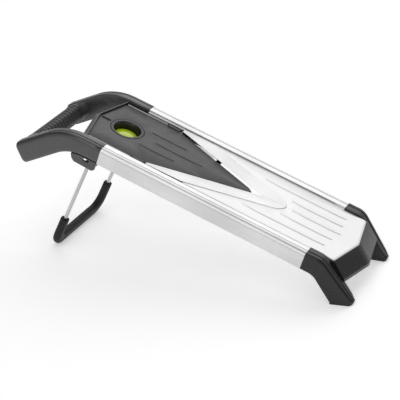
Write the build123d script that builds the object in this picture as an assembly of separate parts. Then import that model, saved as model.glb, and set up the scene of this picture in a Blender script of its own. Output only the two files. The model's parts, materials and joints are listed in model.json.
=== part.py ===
from build123d import *
import math
import os

# V-blade mandoline slicer, standing on its feet, rear leg folded out.
#
# Every piece is drawn in the board's own frame and then tipped to its working slope.
# Board frame: X across the board, Y along it towards the handle, Z out of its working face.
# Z = 0 is the top of the lower plate. Finished frame: +Z up, +Y towards the handle,
# origin on the standing surface under the middle of the slicer.

# --- driving dimensions, millimetres and degrees ---------------------------------------
TILT = 19.0                 # slope of the board when it stands on its leg
FLOOR_POINT = (0.0, -190.0, -40.3)   # a point of the standing surface, in the board frame
SIDES = (-1, 1)
FAR = 50.0                  # cutting tools run this far, past anything they meet

# rails
HALF_WIDTH = 65.0           # centre line to a rail's outer face
RAIL_INNER = 51.0           # centre line to a rail's inner wall
PLATE_HALF = 48.2           # half width of the sliding surface
RAIL_TOP = 1.6
RAIL_BOTTOM = -17.8
RAIL_FRONT = -144.0
RAIL_REAR = 97.3
RAIL_WALL = 1.5
FLANGE_INNER = 40.0         # the rail's inner ledge reaches in to here
FLANGE_TOP = -4.6
FLANGE_THICK = 1.6
LEDGE_REAR = 121.5          # the ledge runs on between the handle's arms
RAIL_MID = (RAIL_INNER + HALF_WIDTH) / 2
RAIL_SHOULDER = 5.5         # round of the outer top edge
RAIL_GROOVE = (1.7, 1.0)    # width and depth of the line along the top
RAIL_GROOVE_X = 0.4         # from the middle of the rail
LEDGE_FRONT = RAIL_FRONT + 12.0
SHELF = (48.9, -0.9)        # step at the foot of the rail's inner wall: inner X, top
STRIP = (44.7, 47.1, 71.0, 121.0, -1.5)   # lip beside the insert: X limits, Y limits, top
RAIL_SCREW_INSET = 12.0     # end screws stand this far in from the rail's ends
TONGUE = (52.8, 62.8, -14.9, -2.3)   # plug inside a rail: X limits, then Z limits
TONGUE_LENGTH = 24.0

# lower plate: ribs are (X, front, rear)
PLATE_THICK = 1.0
PLATE_FRONT_SIDE = -171.4   # front edge of the plate at its sides
PLATE_FRONT_TIP = -181.0    # and at the centre line
FRONT_SLOPE = (PLATE_FRONT_SIDE - PLATE_FRONT_TIP) / PLATE_HALF
PLATE_REAR = 6.9
SLOT_FRONT = 4.0            # the plate's rear corners are cut square here
RIBS = ((0.0, -159.4, -101.8), (16.1, -155.8, -94.3), (32.2, -153.5, -55.8))
RIB_WIDTH = 4.4
RIB_HEIGHT = 0.8

# blade
BLADE_TOP = 0.3
BLADE_THICK = 0.8
BLADE_REAR = 51.5
BLADE_BEVEL = 6.5           # width of the ground face
BLADE_EDGE_DROP = 0.55      # how far the ground face falls
CUT_TIP = (0.0, -68.2)      # cutting edge at the centre line
CUT_REAR = (44.2, BLADE_REAR)
BLADE_TIP_Y = -94.3
BLADE_NOSE = (6.6, -91.6)   # on the rounded front of the tip
BLADE_OUTER = [(12.0, -85.1), (47.0, 9.0), (PLATE_HALF, BLADE_REAR)]
SEAM = 0.12                 # gap between the two halves
SIDE_RIVET = (45.6, 18.0)
TIP_RIVET = (10.0, -77.0)
RIVET_RADIUS = 1.1

# blade carrier
CARRIER_SETBACK = 3.2       # its throat stands back this far from the cutting edge
CARRIER_TOP = BLADE_TOP - BLADE_THICK
CARRIER_PLATE = 1.4
CARRIER_SKIRT = [(0.0, -99.5), (13.5, -90.5), (PLATE_HALF - 1.2, 0.0),
                 (PLATE_HALF - 1.2, BLADE_REAR), (44.6, BLADE_REAR), (44.2, 22.0),
                 (5.5, -82.0), (0.0, -82.0)]
TAB_Y = -2.0
TAB_HALF = 3.0
TAB_X = (19.0, 30.0, 36.0)  # reach of the arm, start of its post, and outer end
TAB_BOTTOM = -6.2
TAB_TOP = -2.2

# insert
INSERT_HALF = 43.9
INSERT_TOP = -1.8
INSERT_THICK = 2.2
INSERT_REAR_SIDE = 122.9
INSERT_REAR_TIP = 132.2
REAR_SLOPE = (INSERT_REAR_TIP - INSERT_REAR_SIDE) / INSERT_HALF
INSERT_TIP = -54.3
INSERT_SHOULDER = (43.5, 52.5)
INSERT_SIDE_FRONT = 53.5    # its long sides start here
INSERT_POINT = [(4.4, -49.5), (2.9, -52.4)]
INSERT_RIBS = ((16.0, 31.7, 76.2), (0.0, 5.7, 63.4))
INSERT_NOTCH = (23.4, TAB_Y)
NOTCH_RADIUS = 1.6
THUMB_SLOT = (11.0, 3.7)
THUMB_SLOT_Y = 124.3
THUMB_SLOT_DEPTH = 1.6
CLIP = (42.7, 47.3, 54.8, 69.3, -0.9)   # X limits, Y limits, top

# release button and its seat
BUTTON_Y = 98.0
BUTTON_RADIUS = 13.4
BUTTON_RIM_Z = -10.2        # where the button's dome starts, deep in its well
BUTTON_DOME = 2.5
BEZEL_RADIUS = 18.5
BEZEL_BORE = 13.7
BEZEL_TOP = -1.8
HOUSING_TOP = -13.2
HOUSING_FLOOR = -24.5
HOUSING_WALL = 2.2
HOUSING_RADIUS = 18.2
HOUSING_BORE = 15.6
FLANGE_RADIUS = 24.5        # flange of the cup, and of the seat that it is screwed to
FLANGE_LOW = -15.2
HOUSING_SCREW_CIRCLE = 21.3
SPRING_RADIUS = 8.2
SPRING_WIRE = 0.55
SPRING_TURNS = 5
BRACE_TOP = FLANGE_TOP - FLANGE_THICK
BRACE_THICK = 3.0
BRACE_HALF = 48.2
BRACE_FRONT = 79.0
BRACE_REAR = 117.0
BRACE_SCREW_X = 44.6
BRACE_SCREW_Y = (84.0, 112.0)

# handle
ARM_INNER = 48.5
ARM_OUTER = 65.3
ARM_TOP = 1.8
ARM_UNDER = -17.8
ARM_ROUND = 5.0             # round of the arms' outer edges
ARM_TIP_ROUND = 4.0
BEND_ANGLE = 43.0
TOP_BEND = (121.0, 64.0)    # where the arms' upper line begins to turn down, and its radius
UNDER_BEND = (114.5, 44.0)  # the same for their underside
ARM_RUN = 40.2              # straight run after the bend
GRIP_ALONG = 28.2           # grip centre, measured down that straight run
GRIP_DEPTH = 10.4
GRIP_WIDTH = 18.0
GRIP_HEIGHT = 19.0
GRIP_ROUND = 6.0
GRIP_HALF = 46.5
GRIP_RIB_PITCH = 6.0
GRIP_RIB_COUNT = 13
GROOVE_HALF = 0.8           # half width of a groove between the grip's ribs
GROOVE_DEPTH = 1.2
CORE = (12.5, 13.5, 3.5)    # bar inside the grip: width, height, corner radius
GUSSET = [(ARM_INNER + 1, -9.5), (GRIP_HALF, -9.5), (ARM_INNER, -17.5), (ARM_INNER + 1, -17.5)]
GUSSET_LOW = -6.0
GUSSET_HEIGHT = 13.0
CROSSBAR_RIM = INSERT_REAR_TIP + 0.4
CROSSBAR = [(0.0, -9.0), (0.0, 0.0), (0.9, 0.4), (4.8, -3.4), (5.3, -5.2), (7.2, -11.0),
            (6.8, -13.6), (3.0, -13.6)]    # side outline, behind its rim

# front frame: the foot's side outline is (along, height), its plan is (across, along)
FOOT_OUTER = 65.4
FOOT_SIDE = [
    (RAIL_FRONT, 2.0), (-162.5, 2.2), (-206.8, -31.0), (-205.3, -48.0), (-190.6, -48.0),
    (-159.5, -18.2), (RAIL_FRONT, -18.1),
]
FOOT_SIDE_RADII = [0, 20, 1.5, 0, 0, 16, 0]
FOOT_PLAN = [
    (48.4, RAIL_FRONT), (FOOT_OUTER, RAIL_FRONT), (FOOT_OUTER, -160.0), (61.2, -192.0),
    (59.0, -203.6), (53.5, -207.2), (47.0, -204.6), (46.3, -188.0), (48.4, -171.0),
]
FOOT_PLAN_RADII = [0, 0, 20, 4, 4, 4, 3, 0, 0]
FOOT_CREST_ROUND = 4.0
CREST_SLOPE = 0.7           # the crest lies above a line of this slope
CREST_LOW = -37.0           # that starts at this height under the toe
PAD_THICK = 1.8
FRONT_BAR_HALF = 50.0
FRONT_BAR = [(-0.1, 0.0), (-17.0, -14.4), (-18.2, -17.6), (-17.2, -19.2), (-14.6, -18.4),
             (1.8, -4.8), (8.0, -4.8), (8.0, -1.05), (-0.1, -1.05)]   # behind the plate's tip

# folding leg
PIVOT_Y = 110.0
PIVOT_Z = -25.2
LEG_LEAN = 6.5              # the open leg leans this far past square
LEG_HALF = 50.0
LEG_LENGTH = 117.25         # pivot to the wire's lower run
WIRE_RADIUS = 2.1
PIN_CLEARANCE = 0.08
STUB_END = 62.2
WIRE_BENDS = [3.5, 16.0, 16.0, 3.5]
SLEEVE_START = 83.5         # rubber sleeve starts this far down the leg
SLEEVE_HALF_THICK = 4.6
SLEEVE_BELOW = 6.4          # rubber under and over the wire's lower run
SLEEVE_ABOVE = 6.2
SLEEVE_OUTER_ROUND = 17.0
SLEEVE_INNER_ROUND = 11.0
BRACKET_INNER = 59.0
BRACKET_CHEEK = 61.0        # the cheek lies between this and the outer face
BRACKET_OUTER = 63.6
BRACKET = [(129.8, -17.5), (127.0, -25.0), (123.4, -28.0), (101.5, -28.8), (98.8, -26.6),
           (98.0, -17.5)]
BRACKET_WINDOW = [(106.2, -18.8), (114.8, -18.8), (113.6, -22.2), (107.4, -22.2)]
BORE_END = 62.6             # the pivot's bore stops inside the cheek
BOSS_RADIUS = 3.2
POST_RADIUS = 4.4
BRACKET_SCREW_Y = (103.0, 123.0)

# fasteners
SCREW_RADIUS = 1.5
HEAD_RADIUS = 2.8
HEAD_HEIGHT = 1.8
SCREW_TIP = -8.0            # how far up the rails' end screws reach
SCREW_SEAT = -21.0          # a bracket screw's head bears here
BRACKET_SCREW_TIP = -10.0
FIT_GAP = 0.15

# --- helpers --------------------------------------------------------------------------


def plate(outline, bottom, top):
    """A flat piece with the given plan outline, between two heights."""
    face = make_face(Polyline(*outline, close=True))
    return extrude(Plane.XY.offset(bottom) * face, amount=top - bottom)


def block(x0, x1, y0, y1, z0, z1):
    """A box by its limits."""
    return plate([(x0, y0), (x1, y0), (x1, y1), (x0, y1)], z0, z1)


def mirrored(outline):
    """Adds the mirror image of a half outline that starts and ends on the centre line."""
    return outline + [(-x, y) for x, y in reversed(outline) if x]


def slab_from_side(outline, x0, x1):
    """A piece with the given side outline (along, height), between two X values."""
    face = make_face(Polyline(*outline, close=True))
    return extrude(Plane.YZ.offset(x0) * face, amount=x1 - x0)


def chevron(outline, half_width, slope):
    """A bar of constant side outline whose two halves run back from the centre line."""
    face = Plane.YZ * make_face(Polyline(*outline, close=True))
    length = half_width * math.hypot(1, slope)
    return extrude(face, amount=length, dir=(1, slope, 0)) + extrude(
        face, amount=length, dir=(-1, slope, 0)
    )


def cylinder(radius, x, y, z0, z1):
    """An upright cylinder in the board frame."""
    return Pos(x, y, (z0 + z1) / 2) * Cylinder(radius, z1 - z0)


def on_side(shape, side):
    """A piece drawn for the +X side, moved to the named side."""
    return shape if side > 0 else mirror(shape, about=Plane.YZ)


def group(shapes):
    """Separate solids that share one node."""
    return Compound(children=list(shapes))


def floor_slab(low, high):
    """The space between two heights above the standing surface."""
    normal = (0, math.sin(math.radians(TILT)), math.cos(math.radians(TILT)))
    plane = Plane(origin=FLOOR_POINT, x_dir=(1, 0, 0), z_dir=normal)
    return extrude(plane.offset(low) * Rectangle(400, 900), amount=high - low)


def screw_hole(x, y, low, high):
    """The space of a screw's shank."""
    return cylinder(SCREW_RADIUS, x, y, low, high)


def screw(x, y, seat, tip):
    """A pan-head screw driven from below up to its seat, with a cross recess in its head."""
    head = cylinder(HEAD_RADIUS, x, y, seat - HEAD_HEIGHT, seat)
    head = fillet(head.edges().group_by(Axis.Z)[0], 0.8)
    recess = Pos(x, y, seat - HEAD_HEIGHT + 0.4) * (Box(3.2, 0.7, 0.8) + Box(0.7, 3.2, 0.8))
    return head + screw_hole(x, y, seat - 0.1, tip) - recess


# --- rails ----------------------------------------------------------------------------


def rail(side):
    """Hollow satin extrusion with a round outer shoulder and a ledge along its inside."""
    width = HALF_WIDTH - RAIL_INNER
    height = RAIL_TOP - RAIL_BOTTOM
    outer = shouldered(width, height, RAIL_SHOULDER)
    outer = fillet(outer.vertices().group_by(Axis.Y)[0], 1.2)
    bore = shouldered(width - 2 * RAIL_WALL, height - 2 * RAIL_WALL, RAIL_SHOULDER - RAIL_WALL)
    groove_width, groove_depth = RAIL_GROOVE
    groove = Pos(RAIL_GROOVE_X, height / 2) * Rectangle(groove_width, 2 * groove_depth)
    section = Pos(RAIL_MID, (RAIL_TOP + RAIL_BOTTOM) / 2) * (outer - bore - groove)
    body = extrude(Plane.XZ.offset(-RAIL_FRONT) * section, amount=RAIL_FRONT - RAIL_REAR)
    body += block(FLANGE_INNER, RAIL_INNER + 0.5, LEDGE_FRONT, RAIL_REAR, BRACE_TOP, FLANGE_TOP)
    body += block(FLANGE_INNER, ARM_INNER - 0.1, RAIL_REAR, LEDGE_REAR, BRACE_TOP, FLANGE_TOP)
    shelf_inner, shelf_top = SHELF
    body += block(shelf_inner, RAIL_INNER + 0.5, LEDGE_FRONT, RAIL_REAR, FLANGE_TOP, shelf_top)
    inner, outer_x, front, rear, strip_top = STRIP
    body += block(inner, outer_x, front, rear, FLANGE_TOP, strip_top)
    for y in (RAIL_FRONT + RAIL_SCREW_INSET, RAIL_REAR - RAIL_SCREW_INSET):
        body -= screw_hole(RAIL_MID, y, RAIL_BOTTOM - 1, RAIL_BOTTOM + 3)
    for y in BRACE_SCREW_Y:
        body -= screw_hole(BRACE_SCREW_X, y, BRACE_TOP - 1, FLANGE_TOP + 1)
    body -= cylinder(RIVET_RADIUS, *SIDE_RIVET, FLANGE_TOP - 3, FLANGE_TOP + 1)
    return on_side(body, side)


def shouldered(width, height, radius):
    """A rectangle whose outer top corner is round."""
    face = Rectangle(width, height)
    return fillet(face.vertices().sort_by(Axis.X)[2:].sort_by(Axis.Y)[-1:], radius)


def tongue(inner_end, outer_end):
    """A plug that fills the inside of a rail between two places along it."""
    low_x, high_x, low_z, high_z = TONGUE
    return block(low_x, high_x, inner_end, outer_end, low_z, high_z)


# --- sliding surface and blade --------------------------------------------------------


def blade_plan():
    """Plan outline of the right blade half, as a face."""
    nose = ThreePointArc((0, BLADE_TIP_Y), BLADE_NOSE, BLADE_OUTER[0])
    rest = Polyline(*BLADE_OUTER, CUT_REAR, CUT_TIP)
    seam = Line(CUT_TIP, (0, BLADE_TIP_Y))
    return make_face(nose + rest + seam)


def lower_plate():
    """Thin sheet with folded sides, pressed ribs and a V cut-out for the blade."""
    outline = mirrored([
        (0, PLATE_FRONT_TIP), (PLATE_HALF, PLATE_FRONT_SIDE), (PLATE_HALF, PLATE_REAR), (0, PLATE_REAR),
    ])
    body = plate(outline, -PLATE_THICK, 0)
    fold = PLATE_HALF - PLATE_THICK
    for side in SIDES:
        flange = block(fold, PLATE_HALF, LEDGE_FRONT + 1, PLATE_REAR, FLANGE_TOP, 0)
        body += on_side(flange, side)
        cut = extrude(Plane.XY.offset(-FAR) * blade_plan(), amount=2 * FAR)
        body -= on_side(cut, side)
    inside = mirrored([(0, CUT_TIP[1] - 2), CUT_REAR, (0, BLADE_REAR)])
    body -= plate(inside, -FAR, FAR)
    body -= block(-fold, fold, SLOT_FRONT, PLATE_REAR + 1, -FAR, FAR)
    return body + rib_set(RIBS, 0)


def rib_set(ribs, base):
    """The pressed ribs of a sheet, with those off the centre line on both sides."""
    return [
        raised_rib(side * x, front, rear, base, RIB_HEIGHT)
        for x, front, rear in ribs for side in (SIDES if x else (1,))
    ]


def raised_rib(x, front, rear, base, height):
    """A pressed rib with pointed ends and sloping flanks."""
    half = RIB_WIDTH / 2
    outline = [
        (x, front), (x + half, front + 6), (x + half, rear - 14),
        (x, rear), (x - half, rear - 14), (x - half, front + 6),
    ]
    face = Plane.XY.offset(base - 0.3) * make_face(Polyline(*outline, close=True))
    return extrude(face, amount=height + 0.3, taper=40)


def blade(side):
    """One half of the V blade, with its ground cutting edge and mitred seam."""
    body = extrude(Plane.XY.offset(BLADE_TOP - BLADE_THICK) * blade_plan(), amount=BLADE_THICK)
    run = Vector(CUT_REAR[0] - CUT_TIP[0], CUT_REAR[1] - CUT_TIP[1], 0).normalized()
    into_steel = Vector(run.Y, -run.X, 0)
    plane = Plane(origin=(CUT_TIP[0], CUT_TIP[1], 0), x_dir=into_steel, z_dir=run)
    steepness = BLADE_EDGE_DROP / BLADE_BEVEL
    # the plane's second axis points down, so heights are entered with their sign turned
    sign = 1 if plane.y_dir.Z > 0 else -1
    wedge = [
        (BLADE_BEVEL, sign * BLADE_TOP),
        (-3, sign * (BLADE_TOP - steepness * (BLADE_BEVEL + 3))),
        (-3, sign * (BLADE_TOP + 2)),
        (BLADE_BEVEL, sign * (BLADE_TOP + 2)),
    ]
    cutter = extrude(plane.offset(-30) * make_face(Polyline(*wedge, close=True)), amount=190)
    body -= cutter
    body -= block(-SEAM / 2, SEAM / 2, BLADE_TIP_Y - 10, CUT_TIP[1] + 10, -FAR, FAR)
    for x, y in (SIDE_RIVET, TIP_RIVET):
        body -= cylinder(RIVET_RADIUS, x, y, -FAR, FAR)
    return on_side(body, side)


def blade_carrier():
    """Black V frame under the blade; two short tabs carry the insert's edges."""
    back = CARRIER_SETBACK / math.sin(math.atan2(CUT_REAR[0], CUT_REAR[1] - CUT_TIP[1]))
    beyond = BLADE_REAR + 10
    throat = plate(mirrored([
        (0, CUT_TIP[1] - back), (CUT_REAR[0], CUT_REAR[1] - back), (CUT_REAR[0], beyond), (0, beyond),
    ]), -FAR, FAR)
    face = Plane.XY.offset(CARRIER_TOP - CARRIER_PLATE) * blade_plan()
    half = extrude(face, amount=CARRIER_PLATE) + plate(CARRIER_SKIRT, FLANGE_TOP, -PLATE_THICK)
    body = half + on_side(half, -1) - throat
    for side in SIDES:
        body += on_side(carrier_tab(), side)
        for x, y in (SIDE_RIVET, TIP_RIVET):
            body -= cylinder(RIVET_RADIUS, side * x, y, -FAR, FAR)
    return body


def carrier_tab():
    """A tab that reaches from the carrier under the insert's edge."""
    reach, post_start, outer = TAB_X
    arm = block(reach, outer, TAB_Y - TAB_HALF, TAB_Y + TAB_HALF, TAB_BOTTOM, FLANGE_TOP)
    return arm + block(post_start, outer, TAB_Y - TAB_HALF, TAB_Y + TAB_HALF, TAB_BOTTOM, TAB_TOP)


def rivets():
    """Four flush rivets: two near the tip, two through the side ledges."""
    made = []
    for side in SIDES:
        for (x, y), low in ((SIDE_RIVET, BRACE_TOP), (TIP_RIVET, FLANGE_TOP)):
            made.append(cylinder(RIVET_RADIUS, side * x, y, low, BLADE_TOP + 0.05))
    return group(made)


# --- insert ---------------------------------------------------------------------------


def slicing_insert():
    """Pointed plate that drops between the blade halves and sets the slice thickness."""
    underside = INSERT_TOP - INSERT_THICK
    body = plate(mirrored([
        (0, INSERT_REAR_TIP), (INSERT_HALF, INSERT_REAR_SIDE), (INSERT_HALF, INSERT_SIDE_FRONT),
        INSERT_SHOULDER, *INSERT_POINT, (0, INSERT_TIP),
    ]), underside, INSERT_TOP)
    body = chamfer(body.faces().sort_by(Axis.Z)[-1].edges(), 0.5)
    for side in SIDES:
        runner = block(FLANGE_INNER + 0.4, INSERT_HALF - 0.3, INSERT_SIDE_FRONT, LEDGE_REAR,
                       FLANGE_TOP + 0.1, underside)
        body += on_side(runner, side)
        body -= cylinder(NOTCH_RADIUS, side * INSERT_NOTCH[0], INSERT_NOTCH[1], -FAR, FAR)
    body += rib_set(INSERT_RIBS, INSERT_TOP)
    body -= cylinder(BEZEL_RADIUS + 0.4, 0, BUTTON_Y, -FAR, FAR)
    slot = Pos(0, THUMB_SLOT_Y, INSERT_TOP - THUMB_SLOT_DEPTH) * SlotOverall(*THUMB_SLOT, rotation=90)
    return body - extrude(slot, amount=FAR)


def insert_clip(side):
    """Folded spring-steel ear on the insert's side that rides on the rail's ledge."""
    x0, x1, y0, y1, top = CLIP
    body = block(x0, x1, y0, y1, FLANGE_TOP + 0.1, top)
    body -= block(x0 - 1, INSERT_HALF, y0 - 1, y1 + 1, FLANGE_TOP - 1, INSERT_TOP)
    body = chamfer(body.faces().sort_by(Axis.Z)[-1].edges(), 0.4)
    return on_side(body, side)


# --- release button -------------------------------------------------------------------


def turned(outline):
    """A turned piece about the button's axis; outline is (radius, height)."""
    face = Plane.XZ * make_face(Polyline(*outline, close=True))
    return Pos(0, BUTTON_Y, 0) * revolve(face, axis=Axis.Z)


def button_bezel():
    """Round well that stands through the insert's hole; its inner lip is chamfered."""
    return turned([
        (BEZEL_BORE, HOUSING_TOP), (BEZEL_BORE, BEZEL_TOP - 2.6), (15.2, BEZEL_TOP),
        (18.0, BEZEL_TOP), (BEZEL_RADIUS, BEZEL_TOP - 0.5),
        (BEZEL_RADIUS, HOUSING_TOP),
    ])


def button_housing():
    """Cup below the brace; it holds the spring and carries the bezel."""
    inner_floor = HOUSING_FLOOR + HOUSING_WALL
    body = turned([
        (0, HOUSING_FLOOR), (HOUSING_RADIUS, HOUSING_FLOOR), (HOUSING_RADIUS, FLANGE_LOW),
        (FLANGE_RADIUS, FLANGE_LOW), (FLANGE_RADIUS, HOUSING_TOP), (HOUSING_BORE, HOUSING_TOP),
        (HOUSING_BORE, inner_floor), (3.2, inner_floor), (3.2, inner_floor + 2.8),
        (0, inner_floor + 2.8),
    ])
    return body - housing_screw_holes()


def release_button():
    """Lime push button: a domed cap on a skirt with a stop flange."""
    rim = BUTTON_RIM_Z
    cap_radius = BUTTON_RADIUS - 0.8
    sphere = (cap_radius**2 + BUTTON_DOME**2) / (2 * BUTTON_DOME)
    top = rim + 0.3 + BUTTON_DOME
    middle = (cap_radius / 2, top - sphere + math.sqrt(sphere**2 - (cap_radius / 2) ** 2))
    dome = ThreePointArc((cap_radius, rim + 0.3), middle, (0, top))
    outline = Polyline(
        (0, top), (0, rim + 0.4), (9.5, rim - 1.0), (11.3, rim - 2.6), (11.3, rim - 6.8),
        (15.1, rim - 6.8), (15.1, rim - 3.2), (BUTTON_RADIUS, rim - 3.2),
        (BUTTON_RADIUS, rim - 0.5), (cap_radius, rim + 0.3),
    )
    face = Plane.XZ * make_face(outline + dome)
    return Pos(0, BUTTON_Y, 0) * revolve(face, axis=Axis.Z)


def button_spring():
    """Compression spring between the cup's floor and the button."""
    low = HOUSING_FLOOR + HOUSING_WALL + SPRING_WIRE
    high = BUTTON_RIM_Z - 1.4 - SPRING_WIRE
    path = Helix(pitch=(high - low) / SPRING_TURNS, height=high - low, radius=SPRING_RADIUS)
    profile = Plane(origin=path @ 0, z_dir=path % 0) * Circle(SPRING_WIRE)
    return Pos(0, BUTTON_Y, low) * sweep(profile, path=path)


def cross_brace():
    """Bar under the ledges that carries the button and ties the rails together."""
    low = BRACE_TOP - BRACE_THICK
    bore = BEZEL_RADIUS + FIT_GAP
    body = block(-BRACE_HALF, BRACE_HALF, BRACE_FRONT, BRACE_REAR, low, BRACE_TOP)
    body = fillet(body.edges().filter_by(Axis.Z), 4)
    body -= cylinder(bore, 0, BUTTON_Y, -FAR, FAR)
    for side in SIDES:
        window = Pos(side * 34, BUTTON_Y, -FAR) * RectangleRounded(10, 22, 3)
        body -= extrude(window, amount=2 * FAR)
        for y in BRACE_SCREW_Y:
            body -= screw_hole(side * BRACE_SCREW_X, y, -FAR, FAR)
    seat = turned([(bore, HOUSING_TOP), (FLANGE_RADIUS, HOUSING_TOP), (FLANGE_RADIUS, low), (bore, low)])
    return body + seat - housing_screw_holes()


def housing_screw_places():
    """Four screws on a circle through the cup's flange."""
    angles = [math.radians(45 + 90 * i) for i in range(4)]
    radius = HOUSING_SCREW_CIRCLE
    return [(radius * math.cos(a), BUTTON_Y + radius * math.sin(a)) for a in angles]


def housing_screw_holes():
    """The spaces of those screws' shanks."""
    return [screw_hole(x, y, -FAR, FAR) for x, y in housing_screw_places()]


# --- handle ---------------------------------------------------------------------------


def bend_direction():
    """Unit vectors down the arms' sloping run and out of its upper face."""
    angle = math.radians(BEND_ANGLE)
    along = Vector(0, math.cos(angle), -math.sin(angle))
    outward = Vector(0, math.sin(angle), math.cos(angle))
    return along, outward


def bend_end(level, start, radius):
    """Where a line at the given level ends its bend, on the centre plane."""
    return Vector(0, start, level - radius) + bend_direction()[1] * radius


def arm_tip(level, start, radius):
    """Where that line meets the square end of the arms."""
    along = bend_direction()[0]
    top_tip = bend_end(ARM_TOP, *TOP_BEND) + along * ARM_RUN
    turned = bend_end(level, start, radius)
    return turned + along * (top_tip - turned).dot(along)


def arm_face():
    """Side outline of an arm as a face; it grows a little deeper through the bend."""
    lines = []
    tips = []
    for level, (start, radius) in ((ARM_TOP, TOP_BEND), (ARM_UNDER, UNDER_BEND)):
        turned = bend_end(level, start, radius)
        tip = arm_tip(level, start, radius)
        tips.append((tip.Y, tip.Z))
        lines += [
            Line((RAIL_REAR, level), (start, level)),
            CenterArc((start, level - radius), radius, 90, -BEND_ANGLE),
            Line((turned.Y, turned.Z), (tip.Y, tip.Z)),
        ]
    lines += [Line(tips[0], tips[1]), Line((RAIL_REAR, ARM_TOP), (RAIL_REAR, ARM_UNDER))]
    return Plane.YZ * make_face(lines)


def grip_plane():
    """Plane across the grip: X along the bar, Y down the arms' slope, Z outward."""
    along, outward = bend_direction()
    origin = bend_end(ARM_TOP, *TOP_BEND) + along * GRIP_ALONG - outward * GRIP_DEPTH
    return Plane(origin=origin, x_dir=(1, 0, 0), z_dir=outward)


def bar(width, height, radius, x0, x1):
    """A rounded bar lying along X at the grip."""
    place = grip_plane()
    across = Plane(origin=place.origin, x_dir=place.y_dir, z_dir=(1, 0, 0))
    section = RectangleRounded(width, height, radius)
    return extrude(across.offset(x0) * section, amount=x1 - x0)


def arm():
    """One curved arm, drawn on the +X side; its outer edges are round but for the rail end."""
    body = Pos(ARM_INNER, 0, 0) * extrude(arm_face(), amount=ARM_OUTER - ARM_INNER)
    body = fillet(body.edges().filter_by(Axis.X).sort_by(Axis.Z)[:2], ARM_TIP_ROUND)
    outer_face = body.faces().sort_by(Axis.X)[-1]
    return fillet([e for e in outer_face.edges() if (e @ 0.5).Y > RAIL_REAR + 1], ARM_ROUND)


def handle_frame():
    """Two arms, the bar that joins them, and the tongues that plug into the rails."""
    gusset = grip_plane().offset(GUSSET_LOW) * make_face(Polyline(*GUSSET, close=True))
    half = arm() + extrude(gusset, amount=GUSSET_HEIGHT)
    half += tongue(RAIL_REAR - TONGUE_LENGTH, RAIL_REAR + 2)
    half -= screw_hole(RAIL_MID, RAIL_REAR - RAIL_SCREW_INSET, -FAR, SCREW_TIP)
    for y in BRACKET_SCREW_Y:
        half -= screw_hole(RAIL_MID, y, -FAR, BRACKET_SCREW_TIP + 0.1)
    core = bar(*CORE, -ARM_INNER - 2, ARM_INNER + 2)
    return half + on_side(half, -1) + core


def handle_grip():
    """Ribbed rubber sleeve on the bar, with a smooth collar at each end."""
    sleeve = bar(GRIP_WIDTH, GRIP_HEIGHT, GRIP_ROUND, -GRIP_HALF, GRIP_HALF)
    first = -(GRIP_RIB_COUNT - 1) / 2 * GRIP_RIB_PITCH
    waist = 2 * GROOVE_DEPTH
    for index in range(GRIP_RIB_COUNT):
        x = first + index * GRIP_RIB_PITCH
        ring = bar(GRIP_WIDTH + 4, GRIP_HEIGHT + 4, GRIP_ROUND + 2, x - GROOVE_HALF, x + GROOVE_HALF)
        ring -= bar(GRIP_WIDTH - waist, GRIP_HEIGHT - waist, GRIP_ROUND - GROOVE_DEPTH, x - 1, x + 1)
        sleeve -= ring
    return sleeve - bar(*CORE, -FAR, FAR)


def rear_crossbar():
    """Chevron bar behind the insert: a narrow rim, then two falling bands."""
    profile = [(CROSSBAR_RIM + y, z) for y, z in CROSSBAR]
    return chevron(profile, ARM_INNER, -REAR_SLOPE)


# --- front frame ----------------------------------------------------------------------


def foot_blank():
    """One front foot before it is cut to the standing surface, on the +X side."""
    side_line = FilletPolyline(*FOOT_SIDE, radius=FOOT_SIDE_RADII, close=True)
    blank = extrude(Plane.YZ * make_face(side_line), amount=FOOT_OUTER)
    crest = [edge for edge in blank.edges() if is_crest(edge)]
    blank = fillet(crest, FOOT_CREST_ROUND)
    plan_line = FilletPolyline(*FOOT_PLAN, radius=FOOT_PLAN_RADII, close=True)
    return blank & extrude(Plane.XY.offset(-2 * FAR) * make_face(plan_line), amount=4 * FAR)


def is_crest(edge):
    """True for the outer edges along the top of the foot's blank."""
    toe_y, toe_z = FOOT_SIDE[2]
    middle = edge @ 0.5
    on_outer_face = min((edge @ t).X for t in (0, 0.5, 1)) > FOOT_OUTER - 0.1
    above = middle.Z > max(toe_z, CREST_LOW + (middle.Y - toe_y) * CREST_SLOPE)
    return on_outer_face and above and toe_y + 0.5 < middle.Y < RAIL_FRONT - 0.1


def front_frame():
    """Front moulding: two feet that cap the rails, joined by a chevron bar."""
    foot = foot_blank() & floor_slab(PAD_THICK, 4 * FAR)
    foot += tongue(RAIL_FRONT - 2, RAIL_FRONT + TONGUE_LENGTH)
    foot -= screw_hole(RAIL_MID, RAIL_FRONT + RAIL_SCREW_INSET, -FAR, SCREW_TIP)
    profile = [(PLATE_FRONT_TIP + y, z) for y, z in FRONT_BAR]
    bar_body = chevron(profile, FRONT_BAR_HALF, FRONT_SLOPE)
    return bar_body + foot + on_side(foot, -1)


def foot_pad(side):
    """Rubber sole of a front foot."""
    return on_side(foot_blank() & floor_slab(0, PAD_THICK), side)


# --- folding leg ----------------------------------------------------------------------


def leg_plane():
    """Plane of the open leg: X across, Y down the leg, at the pivot."""
    lean = math.radians(LEG_LEAN)
    down = (0, math.sin(lean), -math.cos(lean))
    normal = Vector(1, 0, 0).cross(Vector(*down))
    return Plane(origin=(0, PIVOT_Y, PIVOT_Z), x_dir=(1, 0, 0), z_dir=normal)


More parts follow.
